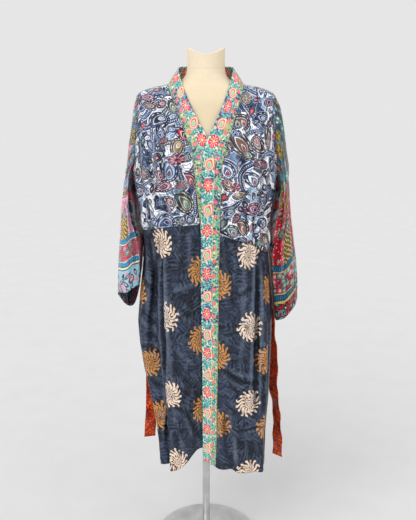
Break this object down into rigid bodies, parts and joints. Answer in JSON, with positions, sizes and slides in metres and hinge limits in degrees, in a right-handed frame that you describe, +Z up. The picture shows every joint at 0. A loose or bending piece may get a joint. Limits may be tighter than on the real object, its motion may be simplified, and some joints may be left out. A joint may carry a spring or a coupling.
{
  "type": "kimono robe on a dress form",
  "caption": "Long open-front kimono robe of pieced printed silks with a stitched neck band, loose sleeves and untied belt, hanging on a limbless dress form with a pole and round base",
  "frame": {"origin": "the centre of the stand's round base, on its underside", "axes": "+Z up along the pole; -Y is the side the robe opens on, so the viewer of the picture stands at -Y; +X is the viewer's right"},
  "size_m": [0.5802, 0.3856, 1.658],
  "materials": {
    "paisley_silk": "printed silk, soft sheen",
    "dark_silk": "printed silk, soft sheen",
    "border_silk": "printed silk, soft sheen",
    "floral_band": "printed silk, soft sheen",
    "rust_silk": "printed silk, soft sheen",
    "form_cover": "matt jersey",
    "stand_metal": "satin"
  },
  "bodies": {
    "root": {"back_bodice": "paisley_silk", "front_bodice_left": "paisley_silk", "front_bodice_right": "paisley_silk", "back_skirt": "dark_silk", "front_skirt_left": "dark_silk", "front_skirt_right": "dark_silk", "belt_loop_left": "dark_silk", "belt_loop_right": "dark_silk", "sleeve_left": "border_silk", "sleeve_right": "border_silk", "neck_band": "floral_band", "belt": "rust_silk", "form_torso": "form_cover", "form_neck": "form_cover", "form_pole": "stand_metal", "form_base": "stand_metal"}
  },
  "joints": []
}
